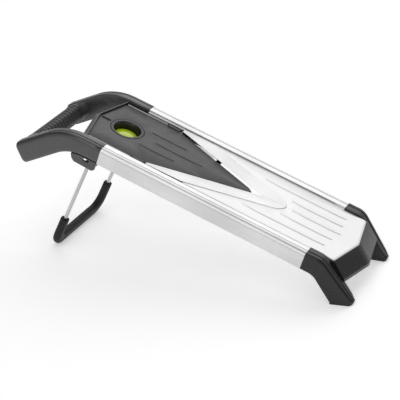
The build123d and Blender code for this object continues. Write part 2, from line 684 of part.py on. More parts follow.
def leg_wire():
    """Bent steel wire: two pivot stubs, two legs and the run that joins them."""
    points = [(STUB_END, 0), (LEG_HALF, 0), (LEG_HALF, LEG_LENGTH), (-LEG_HALF, LEG_LENGTH),
              (-LEG_HALF, 0), (-STUB_END, 0)]
    path = leg_plane() * FilletPolyline(*points, radius=WIRE_BENDS)
    profile = Plane(origin=path @ 0, z_dir=path % 0) * Circle(WIRE_RADIUS)
    return sweep(profile, path=path)


def leg_foot_sleeve():
    """Rubber foot moulded over the lower part of the wire, thicker along its base."""
    half = SLEEVE_HALF_THICK
    outer = sleeve_edge(LEG_HALF + half, LEG_LENGTH + SLEEVE_BELOW, SLEEVE_OUTER_ROUND)
    inner = sleeve_edge(LEG_HALF - half, LEG_LENGTH - SLEEVE_ABOVE, SLEEVE_INNER_ROUND)
    ends = Line(outer @ 0, inner @ 0) + Line(outer @ 1, inner @ 1)
    face = leg_plane().offset(-half) * make_face(outer + inner + ends)
    body = extrude(face, amount=2 * half)
    body = fillet([e for e in body.edges() if not is_across(e)], 3.4)
    return (body & floor_slab(0, 4 * FAR)) - leg_wire()


def sleeve_edge(x, base, radius):
    """The sleeve's outer or inner edge: down one leg, across and up the other."""
    points = [(x, SLEEVE_START), (x, base), (-x, base), (-x, SLEEVE_START)]
    return FilletPolyline(*points, radius=radius)


def is_across(edge):
    """True for edges square to the leg's plane, or at the sleeve's upper ends."""
    plane = leg_plane()
    places = [plane.to_local_coords(edge @ t) for t in (0, 0.5, 1)]
    depths = [p.Z for p in places]
    square = max(depths) - min(depths) > 1
    end = all(p.Y < SLEEVE_START + 0.1 for p in places)
    return square or end


def leg_bracket(side):
    """Lug under an arm: an outer cheek with a window, a pivot boss and two screw posts."""
    body = slab_from_side(BRACKET, BRACKET_CHEEK, BRACKET_OUTER)
    body -= slab_from_side(BRACKET_WINDOW, BRACKET_INNER, HALF_WIDTH)
    body += pin_cylinder(BOSS_RADIUS, BRACKET_INNER, BRACKET_CHEEK + 1)
    for y in BRACKET_SCREW_Y:
        body += cylinder(POST_RADIUS, RAIL_MID, y, SCREW_SEAT - 2.4, ARM_UNDER + 3)
    body -= Pos(ARM_INNER, 0, 0) * extrude(arm_face(), amount=20)
    for y in BRACKET_SCREW_Y:
        body -= screw_hole(RAIL_MID, y, -FAR, BRACKET_SCREW_TIP)
        body -= cylinder(HEAD_RADIUS + 0.1, RAIL_MID, y, -FAR, SCREW_SEAT)
    body -= pin_cylinder(WIRE_RADIUS + PIN_CLEARANCE, BRACKET_INNER - 1, BORE_END)
    return on_side(body, side)


def pin_cylinder(radius, x0, x1):
    """A cylinder on the leg's pivot axis."""
    return Pos((x0 + x1) / 2, PIVOT_Y, PIVOT_Z) * Rot(Y=90) * Cylinder(radius, x1 - x0)


# --- fasteners ------------------------------------------------------------------------


def mirrored_screws(x, places, seat, tip):
    """The same screws on both sides."""
    return group(screw(side * x, y, seat, tip) for side in SIDES for y in places)


def make_parts():
    """Every named piece, in the board frame."""
    rear_screws = [RAIL_REAR - RAIL_SCREW_INSET]
    front_screws = [RAIL_FRONT + RAIL_SCREW_INSET]
    parts = {
        "lower_plate": lower_plate(),
        "blade_carrier": blade_carrier(),
        "blade_rivets": rivets(),
        "slicing_insert": slicing_insert(),
        "button_bezel": button_bezel(),
        "button_housing": button_housing(),
        "button_spring": button_spring(),
        "release_button": release_button(),
        "cross_brace": cross_brace(),
        "handle_frame": handle_frame(),
        "handle_grip": handle_grip(),
        "rear_crossbar": rear_crossbar(),
        "front_frame": front_frame(),
        "leg_wire": leg_wire(),
        "leg_foot_sleeve": leg_foot_sleeve(),
        "handle_screws": mirrored_screws(RAIL_MID, rear_screws, RAIL_BOTTOM, SCREW_TIP),
        "front_frame_screws": mirrored_screws(RAIL_MID, front_screws, RAIL_BOTTOM, SCREW_TIP),
        "bracket_screws": mirrored_screws(RAIL_MID, BRACKET_SCREW_Y, SCREW_SEAT, BRACKET_SCREW_TIP),
        "brace_screws": mirrored_screws(
            BRACE_SCREW_X, BRACE_SCREW_Y, BRACE_TOP - BRACE_THICK, FLANGE_TOP - 0.1
        ),
        "housing_screws": group(
            screw(x, y, FLANGE_LOW, BRACE_TOP - 0.2) for x, y in housing_screw_places()
        ),
    }
    for side, word in ((-1, "left"), (1, "right")):
        parts["rail_" + word] = rail(side)
        parts["blade_" + word] = blade(side)
        parts["insert_clip_" + word] = insert_clip(side)
        parts["foot_pad_" + word] = foot_pad(side)
        parts["leg_bracket_" + word] = leg_bracket(side)
    return parts


def stand_up(parts):
    """Tips every piece to the working slope and centres them over the origin."""
    tipped = {name: Rot(X=TILT) * shape for name, shape in parts.items()}
    boxes = [shape.bounding_box() for shape in tipped.values()]
    low_y = min(box.min.Y for box in boxes)
    high_y = max(box.max.Y for box in boxes)
    low_z = min(box.min.Z for box in boxes)
    shift = Pos(0, -(low_y + high_y) / 2, -low_z)
    pivot = shift * Rot(X=TILT) * Pos(0, PIVOT_Y, PIVOT_Z)
    print("leg pivot", pivot.position)
    print("board origin", (shift * Rot(X=TILT)).position)
    return {name: shift * shape for name, shape in tipped.items()}


os.makedirs("parts", exist_ok=True)
for name, shape in stand_up(make_parts()).items():
    export_step(shape, "parts/" + name + ".step")
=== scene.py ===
"""Looks of the V-blade mandoline slicer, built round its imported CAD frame. Metres."""
import bpy
import bmesh
import json
import math
from mathutils import Matrix, Vector
from mathutils.geometry import delaunay_2d_cdt


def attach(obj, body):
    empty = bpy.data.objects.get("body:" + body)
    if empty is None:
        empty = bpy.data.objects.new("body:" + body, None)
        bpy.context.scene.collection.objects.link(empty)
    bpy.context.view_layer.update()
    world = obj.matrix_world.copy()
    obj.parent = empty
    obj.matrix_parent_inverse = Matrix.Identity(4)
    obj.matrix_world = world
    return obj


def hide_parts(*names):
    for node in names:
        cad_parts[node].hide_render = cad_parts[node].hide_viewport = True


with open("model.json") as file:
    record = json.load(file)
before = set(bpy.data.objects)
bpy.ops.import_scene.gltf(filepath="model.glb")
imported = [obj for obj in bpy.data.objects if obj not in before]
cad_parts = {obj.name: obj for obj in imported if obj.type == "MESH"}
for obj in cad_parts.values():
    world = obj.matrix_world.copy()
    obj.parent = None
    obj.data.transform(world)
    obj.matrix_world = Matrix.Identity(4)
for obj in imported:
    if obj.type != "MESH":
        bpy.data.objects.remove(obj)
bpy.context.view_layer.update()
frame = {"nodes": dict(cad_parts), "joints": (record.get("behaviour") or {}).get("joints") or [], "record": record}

# --- the board's own frame -------------------------------------------------------------
# X across the board, Y along it towards the handle, Z out of its working face, in mm.
# Z = 0 is the top of the lower plate. Every size below is in this frame.
MM = 0.001
TILT = math.radians(19.0)
PIVOT_BOARD = Vector((0.0, 110.0, -25.2))
PIVOT_WORLD = Vector(next(j["pos_m"] for j in frame["joints"] if j["name"] == "leg_fold"))
TURN = Matrix.Rotation(TILT, 4, "X")
BOARD = Matrix.Translation(PIVOT_WORLD) @ TURN @ Matrix.Scale(MM, 4) @ Matrix.Translation(-PIVOT_BOARD)
SIDES = (-1, 1)

RAIL_REAR = 97.3
RAIL_FRONT = -144.0
RAIL_TOP = 1.6
RAIL_BOTTOM = -17.8
RAIL_INNER = 51.0
RAIL_OUTER = 65.0
RAIL_WALL = 1.5
LEDGE_FRONT = -132.0
SHELF_INNER = 48.9          # low step at the foot of a rail's inner wall
SHELF_TOP = -0.9
LEDGE_INNER = 40.0
LEDGE_TOP = -4.6
LEDGE_THICK = 1.6
LEDGE_REAR = 121.5
STRIP_X = (44.7, 47.1)      # strip standing on the ledge, beside the insert; its darker colour is painted shade
STRIP_Y = (71.0, 121.0)
STRIP_TOP = -1.5
GROOVE_X = 58.4             # thin line along the top of rails, arms and feet
GROOVE_WIDTH = 1.7
GROOVE_DEPTH = 1.0
GROOVE = (
    (GROOVE_X - GROOVE_WIDTH / 2, 0.0), (GROOVE_X - GROOVE_WIDTH / 3, GROOVE_DEPTH),
    (GROOVE_X + GROOVE_WIDTH / 3, GROOVE_DEPTH), (GROOVE_X + GROOVE_WIDTH / 2, 0.0),
)

PLATE_HALF = 48.2
PLATE_THICK = 1.0
PLATE_TIP = -181.0
PLATE_SIDE_FRONT = -171.4
PLATE_REAR = 6.9
PLATE_FLANGE_LOW = -4.6
FLANGE_FRONT = -131.0
FRONT_SLOPE = (PLATE_SIDE_FRONT - PLATE_TIP) / PLATE_HALF
FRONT_LIP = 3.4             # width of the strip that falls away along the front edge
FRONT_FALL = 0.8
BLADE_OUTER = ((12.0, -85.1), (47.0, 9.0))    # ends of a blade's outer edge
BLADE_NOSE = ((9.4, -89.4), (6.6, -91.6), (3.4, -93.6), (0, -94.3))
BLADE_GAP = 0.25            # clear line between the plate and the blade
PLATE_RIBS = ((0.0, -159.4, -101.8), (16.1, -155.8, -94.3), (32.2, -153.5, -55.8))

INSERT_HALF = 43.9
INSERT_TOP = -1.8
INSERT_THICK = 2.2
INSERT_EDGE = 0.45          # how far the rounding of its rim falls
INSERT_REAR_SIDE = 122.9
INSERT_REAR_TIP = 132.2
INSERT_CORNER_Y = 53.5      # where the long side ends and the slanting edge starts
SHOULDER = (43.2, 51.6)
POINT_SIDE = (4.4, -49.5)
POINT_TIP = -54.2
NOTCH = ((23.4, -2.0), 1.6)  # centre and radius of the bite out of each slanting edge
RUNNER_X = (40.4, 43.6)     # low rim under each long side
RUNNER_Y = (INSERT_CORNER_Y, 121.5)
RUNNER_TOP = INSERT_TOP - 1.9
RUNNER_LOW = -4.5
THUMB_Y = 124.3             # recess behind the button
THUMB_HALF = 1.85
THUMB_LENGTH = 11.0
THUMB_DEPTH = 1.6
REAR_SLOPE = (INSERT_REAR_TIP - INSERT_REAR_SIDE) / INSERT_HALF
INSERT_RIBS = ((16.0, 31.7, 76.2), (0.0, 5.7, 63.4))
BUTTON_Y = 98.0
BUTTON_HOLE = 18.9
BUTTON_RIM = -10.2
DOME_RADIUS = 12.6
DOME_HEIGHT = 2.5
CAP_RADIUS = 13.35
STOP_RADIUS = 15.05         # flange that keeps the button in its well
SKIRT_BORE = 11.3
SKIRT_LENGTH = 6.8
STOP_DEPTH = 3.2            # from the button's rim down to the flange
BEZEL_BORE = 13.75
BEZEL_RADIUS = 18.45
BEZEL_TOP = -1.8
BEZEL_LOW = -13.2

ARM_INNER = 48.5
ARM_OUTER = 65.3
ARM_TOP = 1.8
ARM_UNDER = -17.8
BEND_ANGLE = math.radians(43.0)
TOP_BEND = (121.0, 64.0)    # start and radius of the bend in the arms' upper line
UNDER_BEND = (114.5, 44.0)  # the same for their underside
ARM_RUN = 40.2
GRIP_ALONG = 28.2
GRIP_DEPTH = 10.4

LEG_LEAN = math.radians(6.5)
LEG_HALF = 50.0
LEG_LENGTH = 117.25
WIRE_RADIUS = 2.1
STUB_END = 62.2
SLEEVE_START = 83.5


def place(point):
    """A point of the board frame, in the scene's frame."""
    return BOARD @ Vector(point)


# --- shader helpers --------------------------------------------------------------------


class Shader:
    """A material under construction, with short calls for the nodes used here."""

    def __init__(self, name, **sockets):
        self.material = bpy.data.materials.new(name)
        self.material.use_nodes = True
        self.tree = self.material.node_tree
        self.bsdf = self.tree.nodes["Principled BSDF"]
        for socket, value in sockets.items():
            self.bsdf.inputs[socket.replace("_", " ")].default_value = value

    def add(self, kind, links=(), **values):
        """A node; values set its fields, and links are (input name, output or constant) pairs."""
        node = self.tree.nodes.new(kind)
        for key, value in values.items():
            setattr(node, key, value)
        for name, source in links:
            if isinstance(source, bpy.types.NodeSocket):
                self.tree.links.new(source, node.inputs[name])
            else:
                node.inputs[name].default_value = source
        return node

    def along_board(self, stretch=(1, 1, 1)):
        """Coordinates turned with the board, so that Y runs along it."""
        local = self.add("ShaderNodeTexCoord").outputs["Object"]
        turned = self.add("ShaderNodeMapping", [("Vector", local), ("Rotation", (-TILT, 0, 0))])
        scaled = self.add(
            "ShaderNodeMapping", [("Vector", turned.outputs[0]), ("Scale", stretch)]
        )
        return scaled.outputs[0]

    def noise(self, vector, scale, detail=3.0, roughness=0.5):
        links = [("Vector", vector), ("Scale", scale), ("Detail", detail), ("Roughness", roughness)]
        return self.add("ShaderNodeTexNoise", links).outputs["Fac"]

    def spread(self, value, low, high, start=0.0, end=1.0):
        """Maps a value from start..end to low..high."""
        links = [("Value", value), ("From Min", start), ("From Max", end)]
        links += [("To Min", low), ("To Max", high)]
        return self.add("ShaderNodeMapRange", links).outputs["Result"]

    def blend(self, factor, first, second):
        """A colour between two."""
        node = self.add("ShaderNodeMix", data_type="RGBA")
        for index, source in ((0, factor), (6, first), (7, second)):
            if isinstance(source, tuple):
                node.inputs[index].default_value = (*source, 1.0)
            else:
                self.tree.links.new(source, node.inputs[index])
        return node.outputs[2]

    def bump(self, height, strength, distance):
        links = [("Height", height), ("Strength", strength), ("Distance", distance)]
        return self.add("ShaderNodeBump", links)

    def edges(self, radius):
        """1 along sharp outer edges and 0 on flat faces; the mask of the painted edge highlights."""
        rounded = self.add("ShaderNodeBevel", samples=4)
        rounded.inputs["Radius"].default_value = radius
        plain = self.add("ShaderNodeNewGeometry").outputs["Normal"]
        dot = self.add("ShaderNodeVectorMath", operation="DOT_PRODUCT")
        self.tree.links.new(rounded.outputs[0], dot.inputs[0])
        self.tree.links.new(plain, dot.inputs[1])
        return self.spread(dot.outputs["Value"], 1.0, 0.0, 0.82, 0.995)

    def set(self, socket, source):
        self.tree.links.new(source, self.bsdf.inputs[socket])


def brushed_metal(name, colour, dark, roughness, streak, grain=1.0, metallic=1.0, **sockets):
    """Metal with fine lines along the board, faint clouding and a painted highlight along its edges."""
    made = Shader(name, Metallic=metallic, **sockets)
    lines = made.noise(made.along_board((1.0, 0.012, 1.0)), 2600.0, 2.0)
    broad = made.noise(made.along_board((1.0, 0.05, 1.0)), 260.0, 3.0)
    cloud = made.noise(made.along_board(), 14.0, 3.0)
    tone = made.blend(made.spread(cloud, 0.0, 1.0, 0.3, 0.7), colour, dark)
    tone = made.blend(made.spread(broad, 0.0, 0.35, 0.35, 0.75), tone, dark)
    # painted highlight: the edges are lightened in colour, as if catching the light
    edge_highlight_colour = tuple(min(1, c * 1.15) for c in colour)
    tone = made.blend(made.spread(made.edges(0.0005), 0.0, 0.5), tone, edge_highlight_colour)
    made.set("Base Color", tone)
    made.set("Roughness", made.spread(lines, roughness - streak, roughness + streak, 0.25, 0.75))
    made.set("Normal", made.bump(lines, 0.12 * grain, 0.00004).outputs[0])
    return made.material


def moulded_plastic(name, colour, light, roughness, grain, spot=2400.0, **sockets):
    """Moulded plastic: fine spark-eroded grain, soft clouding and a slight painted highlight along its edges."""
    made = Shader(name, **sockets)
    fine = made.noise(made.along_board(), spot, 2.0)
    cloud = made.noise(made.along_board(), 22.0, 4.0, 0.6)
    scuffs = made.noise(made.along_board((1.0, 0.2, 1.0)), 300.0, 4.0, 0.7)
    # the clouding is the plastic's own uneven tone; the edge blend below is a painted highlight
    tone = made.blend(made.spread(cloud, 0.0, 0.5, 0.35, 0.7), colour, light)
    tone = made.blend(made.spread(made.edges(0.0007), 0.0, 0.55), tone, light)
    made.set("Base Color", tone)
    made.set("Roughness", made.spread(scuffs, roughness - 0.05, roughness + 0.07, 0.35, 0.7))
    made.set("Normal", made.bump(fine, grain, 0.00005).outputs[0])
    return made.material


MATERIALS = {
    "satin_aluminium": brushed_metal(
        "satin_aluminium", (0.74, 0.74, 0.74), (0.61, 0.61, 0.615), 0.3, 0.07, 1.0, 0.9
    ),
    # painted shade: a darker, duller copy of the satin aluminium, worn by the strips beside the insert
    "aluminium_painted_darker": brushed_metal(
        "aluminium_painted_darker", (0.36, 0.36, 0.36), (0.26, 0.26, 0.26), 0.45, 0.07, 1.0, 0.7
    ),
    "bright_sheet": brushed_metal(
        "bright_sheet", (0.90, 0.90, 0.90), (0.84, 0.84, 0.845), 0.42, 0.06, 0.7, 0.6
    ),
    "blade_steel": brushed_metal(
        "blade_steel", (0.70, 0.70, 0.70), (0.52, 0.52, 0.525), 0.34, 0.08, 0.9, 0.9
    ),
    "grey_insert": moulded_plastic(
        "grey_insert", (0.056, 0.056, 0.058), (0.085, 0.085, 0.088), 0.42, 0.15
    ),
    "spring_steel": brushed_metal(
        "spring_steel", (0.075, 0.075, 0.08), (0.05, 0.05, 0.054), 0.38, 0.08
    ),
    "black_plastic": moulded_plastic(
        "black_plastic", (0.006, 0.006, 0.0065), (0.016, 0.016, 0.017), 0.27, 0.12,
        Specular_IOR_Level=0.45,
    ),
    # painted light: a lighter copy of the black plastic, worn by the arms, the rear bar and the leg brackets
    "black_plastic_painted_lighter": moulded_plastic(
        "black_plastic_painted_lighter", (0.016, 0.016, 0.0165), (0.034, 0.034, 0.035), 0.3, 0.12,
        Specular_IOR_Level=1.0,
    ),
    "grip_rubber": moulded_plastic(
        "grip_rubber", (0.035, 0.035, 0.036), (0.07, 0.07, 0.071), 0.45, 0.3, 1700.0
    ),
    "black_rubber": moulded_plastic(
        "black_rubber", (0.009, 0.009, 0.0095), (0.02, 0.02, 0.021), 0.55, 0.3, 1700.0,
        Specular_IOR_Level=0.3,
    ),
    "lime_plastic": moulded_plastic(
        "lime_plastic", (0.60, 0.80, 0.012), (0.68, 0.86, 0.03), 0.2, 0.04, Coat_Weight=0.5
    ),
    "leg_steel": brushed_metal(
        "leg_steel", (0.58, 0.58, 0.59), (0.48, 0.48, 0.50), 0.2, 0.06
    ),
    "screw_steel": brushed_metal(
        "screw_steel", (0.55, 0.56, 0.58), (0.42, 0.42, 0.45), 0.3, 0.08
    ),
}
SLOT_OF = {s["node"]: s["material_slot"] for s in frame["record"]["subparts"]}


def dress_cad_nodes():
    """Gives every CAD node the full material of its slot; the leg brackets wear the lighter copy of the black
    plastic, which is painted light.
    """
    for name, node in frame["nodes"].items():
        node.data.materials.clear()
        # the leg brackets wear the lighter copy of the black plastic: painted light
        finish = "black_plastic_painted_lighter" if name.startswith("leg_bracket") else SLOT_OF[name]
        node.data.materials.append(MATERIALS[finish])


# --- outlines --------------------------------------------------------------------------


def arc(centre, radius, start, end, steps):
    """Points along an arc, by its angles in radians."""
    angles = [start + (end - start) * k / steps for k in range(steps + 1)]
    return [(centre[0] + radius * math.cos(a), centre[1] + radius * math.sin(a)) for a in angles]


def soften(corners, radii, steps=5, closed=True):
    """An outline's corners rounded, each to its own radius."""
    made = []
    for index, corner in enumerate(corners):
        radius = radii[index] if isinstance(radii, (list, tuple)) else radii
        is_end = not closed and index in (0, len(corners) - 1)
        if radius == 0 or is_end:
            made.append(tuple(corner))
            continue
        here = Vector(corner)
        before = (Vector(corners[index - 1]) - here).normalized()
        after = (Vector(corners[(index + 1) % len(corners)]) - here).normalized()
        half = before.angle(after) / 2
        centre = here + (before + after).normalized() * radius / math.sin(half)
        first = here + before * radius / math.tan(half) - centre
        last = here + after * radius / math.tan(half) - centre
        start = math.atan2(first.y, first.x)
        turn = (math.atan2(last.y, last.x) - start + math.pi) % (2 * math.pi) - math.pi
        made += arc(centre, radius, start, start + turn, steps)
    return made


def mirrored(outline):
    """A closed outline from its +X half, which starts and ends on the centre line."""
    return outline + [(-x, y) for x, y in reversed(outline) if abs(x) > 1e-6]


def smooth_step(value):
    value = min(1.0, max(0.0, value))
    return value * value * (3 - 2 * value)


def between(low, high, t):
    return low + (high - low) * t


def along_table(table, key):
    """Straight-line look-up in (key, value) rows with rising keys."""
    for (k0, v0), (k1, v1) in zip(table, table[1:]):
        if key <= k1:
            return between(v0, v1, max(0.0, (key - k0) / (k1 - k0)))
    return table[-1][1]


# --- mesh helpers ----------------------------------------------------------------------


def loft(bm, sections, caps=True, ring=False):
    """Joins closed sections of equal point count; ring joins the last to the first."""
    rings = [[bm.verts.new(point) for point in section] for section in sections]
    pairs = list(zip(rings, rings[1:]))
    if ring:
        pairs.append((rings[-1], rings[0]))
    for near, far in pairs:
        for i, vertex in enumerate(near):
            j = (i + 1) % len(near)
            bm.faces.new((vertex, near[j], far[j], far[i]))
    if caps and not ring:
        bm.faces.new(list(reversed(rings[0])))
        bm.faces.new(rings[-1])


def lathe(bm, profile, steps=96):
    """Turns a closed (radius, height) profile about the button's axis."""
    sections = []
    for k in range(steps):
        angle = 2 * math.pi * k / steps
        sections.append([
            (r * math.cos(angle), BUTTON_Y + r * math.sin(angle), z) for r, z in profile
        ])
    loft(bm, sections, ring=True)


def inside(point, outline):
    """True when a point lies inside a closed outline."""
    hit = False
    for (x0, y0), (x1, y1) in zip(outline, outline[1:] + outline[:1]):
        if (y0 > point[1]) != (y1 > point[1]):
            if point[0] < x0 + (point[1] - y0) * (x1 - x0) / (y1 - y0):
                hit = not hit
    return hit


def flat(u, v, height):
    """Placement of a sheet that lies in the board."""
    return (u, v, height)


def endwise(u, v, height):
    """Placement of a section that runs along the board."""
    return (u, height, v)


def sheet(bm, outline, holes, contours, thickness, where=flat):
    """A sheet over an outline; all loops are closed rows of (u, v, height)."""
    points = []
    heights = []
    edges = []
    for loop in [outline] + holes + contours:
        start = len(points)
        points += [Vector((p[0], p[1])) for p in loop]
        heights += [p[2] for p in loop]
        edges += [(start + i, start + (i + 1) % len(loop)) for i in range(len(loop))]
    verts, _, faces, origins, _, _ = delaunay_2d_cdt(points, edges, [], 0, 1e-4)
    rim = [(p[0], p[1]) for p in outline]
    voids = [[(p[0], p[1]) for p in hole] for hole in holes]
    levels = [heights[o[0]] for o in origins]
    top = [bm.verts.new(where(v.x, v.y, z)) for v, z in zip(verts, levels)]
    low = [bm.verts.new(where(v.x, v.y, z - thickness)) for v, z in zip(verts, levels)]
    edge_use = {}
    for face in faces:
        middle = sum((verts[i] for i in face), Vector((0, 0))) / len(face)
        if not inside(middle, rim) or any(inside(middle, void) for void in voids):
            continue
        bm.faces.new([top[i] for i in face])
        bm.faces.new([low[i] for i in reversed(face)])
        for a, b in zip(face, face[1:] + face[:1]):
            edge_use.setdefault(frozenset((a, b)), []).append((a, b))
    for uses in edge_use.values():
        if len(uses) == 1:
            a, b = uses[0]
            bm.faces.new((top[b], top[a], low[a], low[b]))
    bmesh.ops.delete(bm, geom=[v for v in bm.verts if not v.link_faces], context="VERTS")


def side_run(bm, side, corners, rounds, front, rear, steps=3):
    """A solid of constant (x, z) section along one side of the board."""
    section = [(side * x, z) for x, z in soften(corners, rounds, steps)]
    loft(bm, [[(x, y, z) for x, z in section] for y in (front, rear)])


def add_piece(name, bm, body, slot, nodes, sharp=32.0, finish=None):
    """Turns a mesh drawn in the board frame into a piece that stands for the given CAD nodes.

    Edges that turn by more than the sharp angle stay sharp. A finish is a material to wear
    instead of the slot's own.
    """
    bmesh.ops.remove_doubles(bm, verts=bm.verts, dist=0.002)
    bmesh.ops.recalc_face_normals(bm, faces=bm.faces)
    limit = math.radians(sharp)
    for edge in bm.edges:
        edge.smooth = not edge.is_manifold or edge.calc_face_angle() < limit
    for face in bm.faces:
        face.smooth = True
    bm.transform(BOARD)
    mesh = bpy.data.meshes.new(name)
    bm.to_mesh(mesh)
    bm.free()
    mesh.materials.append(MATERIALS[finish or slot])
    piece = bpy.data.objects.new(name, mesh)
    bpy.context.scene.collection.objects.link(piece)
    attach(piece, body)
    if nodes:
        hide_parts(*nodes)
    return piece


# --- pressed ribs ----------------------------------------------------------------------

RIB_HALF = 2.2
RIB_HEIGHT = 0.75
RIB_LEVELS = ((1.12, 0.0), (1.0, 0.03), (0.86, 0.22), (0.68, 0.62), (0.5, 0.9), (0.3, 1.0))


def rib_half_width(along, length, lower_taper, upper_taper):
    """Half width of a rib, blunt at its lower end and drawn out at its upper end."""
    lower = 0.55 + 0.45 * smooth_step(along / lower_taper)
    upper = 0.3 + 0.7 * smooth_step((length - along) / upper_taper)
    ends = math.sqrt(max(0.0, min(1.0, along / 1.6, (length - along) / 1.2)))
    return RIB_HALF * min(lower, upper) * ends


def rib_contours(x, front, rear, base, height=RIB_HEIGHT, lower_taper=14.0, upper_taper=18.0):
    """Contour loops of one rib, from its foot to its crest."""
    loops = []
    length = rear - front
    for scale, rise in RIB_LEVELS:
        inset = (1.0 - scale) * RIB_HALF
        steps = 44
        right = []
        for k in range(steps + 1):
            eased = 0.5 - 0.5 * math.cos(math.pi * k / steps)
            along = length * eased
            half = rib_half_width(along, length, lower_taper, upper_taper) * scale
            y = front + inset + (length - 2 * inset) * eased
            right.append((max(half, 0.0), y))
        left = [(-w, y) for w, y in reversed(right[1:-1])]
        loops.append([(x + w, y, base + rise * height) for w, y in right + left])
    return loops


def mirrored_ribs(ribs, base, **shape):
    """The contours of a set of ribs, with those off the centre line on both sides."""
    loops = []
    for x, front, rear in ribs:
        for side in SIDES if x else (1,):
            loops += rib_contours(side * x, front, rear, base, **shape)
    return loops


# --- lower plate -----------------------------------------------------------------------


def shrunk(outline, inset):
    """A closed outline moved inwards by the same distance all round."""
    made = []
    count = len(outline)
    area = sum(
        outline[i][0] * outline[(i + 1) % count][1] - outline[(i + 1) % count][0] * outline[i][1]
        for i in range(count)
    )
    sign = 1 if area > 0 else -1
    for i in range(count):
        here = Vector(outline[i][:2])
        before = (here - Vector(outline[i - 1][:2])).normalized()
        after = (Vector(outline[(i + 1) % count][:2]) - here).normalized()
        n0 = Vector((-before.y, before.x)) * sign
        n1 = Vector((-after.y, after.x)) * sign
        middle = (n0 + n1).normalized()
        made.append(tuple(here + middle * inset / max(0.3, middle.dot(n1))))
    return made


def with_height(outline, height):
    return [(p[0], p[1], height) for p in outline]


def plate_outline():
    """Outline of the lower plate, round the blade's V."""
    corner = soften([
        (0, PLATE_TIP), (PLATE_HALF, PLATE_SIDE_FRONT), (PLATE_HALF, PLATE_REAR),
        (BLADE_OUTER[1][0] - BLADE_GAP, PLATE_REAR), BLADE_OUTER[0],
    ], [0, 1.2, 0, 0, 0], 4, closed=False)
    shoulder = (BLADE_OUTER[0][0] - BLADE_GAP, BLADE_OUTER[0][1] - BLADE_GAP)
    nose = [(x, y - BLADE_GAP) for x, y in BLADE_NOSE]
    return mirrored(corner[:-1] + [shoulder] + nose)


def make_lower_plate():
    """Pressed sheet with rolled edges, a turned-down front lip, ribs and folded sides."""
    bm = bmesh.new()
    outline = plate_outline()
    rim = with_height(outline, -0.32)
    lip = [with_height(shrunk(outline, 0.18), -0.1), with_height(shrunk(outline, 0.45), 0.0)]
    sheet(bm, rim, [], lip + mirrored_ribs(PLATE_RIBS, 0.0), PLATE_THICK)
    turn_down_front(bm, FRONT_LIP * math.hypot(1, FRONT_SLOPE))
    inner = PLATE_HALF - PLATE_THICK
    for side in SIDES:
        side_run(bm, side, [
            (PLATE_HALF, -0.3), (PLATE_HALF, PLATE_FLANGE_LOW), (inner, PLATE_FLANGE_LOW),
            (inner, -0.3),
        ], [0, 0.3, 0.3, 0], FLANGE_FRONT, PLATE_REAR, 2)
    return add_piece("lower_plate_sheet", bm, "board", "bright_sheet", ["lower_plate"], 40.0)


def turn_down_front(bm, depth):
    """Lets the sheet fall over this depth towards its pointed front edge."""
    for share in (1.0, 0.66, 0.33):
        for side in SIDES:
            half = [v for v in bm.verts if v.co.x * side > -1e-4]
            edges = [e for e in bm.edges if all(v.co.x * side > -1e-4 for v in e.verts)]
            faces = [f for f in bm.faces if all(v.co.x * side > -1e-4 for v in f.verts)]
            bmesh.ops.bisect_plane(
                bm, geom=half + edges + faces, plane_co=Vector((0, PLATE_TIP + depth * share, 0)),
                plane_no=Vector((-side * FRONT_SLOPE, 1, 0)).normalized(),
            )
    for vertex in bm.verts:
        behind = vertex.co.y - (PLATE_TIP + abs(vertex.co.x) * FRONT_SLOPE)
        if behind < depth:
            vertex.co.z -= FRONT_FALL * (1 - behind / depth) ** 2


# --- rails -----------------------------------------------------------------------------


def rail_outline(side):
    """Outer section of a rail, with its round shoulder and the groove along its top."""
    corners = [
        (RAIL_INNER, RAIL_TOP), *((x, RAIL_TOP - d) for x, d in GROOVE), (RAIL_OUTER, RAIL_TOP),
        (RAIL_OUTER, RAIL_BOTTOM), (RAIL_INNER, RAIL_BOTTOM),
    ]
    rounds = [0.7, 0.15, 0.12, 0.12, 0.15, 5.4, 1.2, 1.0]
    return [(side * x, z) for x, z in soften(corners, rounds, 7)]


def rail_bore(side):
    """Inner section of a rail."""
    low_x, high_x = RAIL_INNER + RAIL_WALL, RAIL_OUTER - RAIL_WALL
    low_z, high_z = RAIL_BOTTOM + RAIL_WALL, RAIL_TOP - RAIL_WALL
    corners = [(low_x, high_z), (high_x, high_z), (high_x, low_z), (low_x, low_z)]
    return [(side * x, z) for x, z in soften(corners, [0.4, 4.0, 0.4, 0.4], 6)]


def make_rails():
    """Hollow extrusions with an inner ledge and a low step on it."""
    low = LEDGE_TOP - LEDGE_THICK
    arm_side = ARM_INNER - 0.1
    for side, word in ((-1, "left"), (1, "right")):
        bm = bmesh.new()
        outline = with_height(rail_outline(side), RAIL_REAR)
        bore = with_height(rail_bore(side), RAIL_REAR)
        sheet(bm, outline, [bore], [], RAIL_REAR - RAIL_FRONT, endwise)
        side_run(bm, side, [
            (LEDGE_INNER, low), (RAIL_INNER + 0.4, low), (RAIL_INNER + 0.4, SHELF_TOP),
            (SHELF_INNER, SHELF_TOP), (SHELF_INNER, LEDGE_TOP), (LEDGE_INNER, LEDGE_TOP),
        ], [0.2, 0, 0, 0.2, 0, 0.2], LEDGE_FRONT, RAIL_REAR)
        side_run(bm, side, [
            (LEDGE_INNER, low), (arm_side, low), (arm_side, LEDGE_TOP), (LEDGE_INNER, LEDGE_TOP),
        ], 0.2, RAIL_REAR - 0.1, LEDGE_REAR)
        add_piece("rail_" + word + "_body", bm, "board", "satin_aluminium", ["rail_" + word], 30.0)


